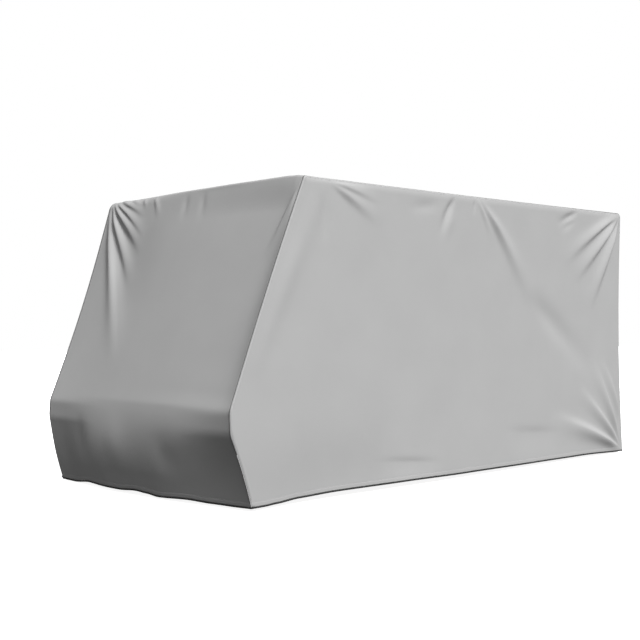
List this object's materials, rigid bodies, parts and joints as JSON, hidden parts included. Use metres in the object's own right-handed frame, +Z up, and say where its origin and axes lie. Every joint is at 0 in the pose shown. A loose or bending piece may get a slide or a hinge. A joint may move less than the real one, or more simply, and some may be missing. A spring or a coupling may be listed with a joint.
{
  "type": "fitted caravan cover",
  "caption": "Hollow fitted cloth cover for a caravan, with a sloping front that turns in at a rounded knee, welted side seams, corner tension folds and a dark bound hem.",
  "frame": {"origin": "middle of the roof panel's underside, where the caravan's roof holds the cover up", "axes": "+X to the sloping front, +Y to the cover's left, +Z up"},
  "size_m": [4.0519, 1.9939, 1.9115],
  "materials": {
    "panel_cloth": "coated polyester, matt with a faint sheen",
    "welt_cloth": "matt folded cloth",
    "binding_tape": "matt woven tape"
  },
  "bodies": {
    "root": {"roof_panel": "panel_cloth", "front_panel": "panel_cloth", "rear_panel": "panel_cloth", "side_panel_left": "panel_cloth", "side_panel_right": "panel_cloth", "seam_welt_left": "welt_cloth", "seam_welt_right": "welt_cloth", "hem_binding": "binding_tape"}
  },
  "joints": []
}
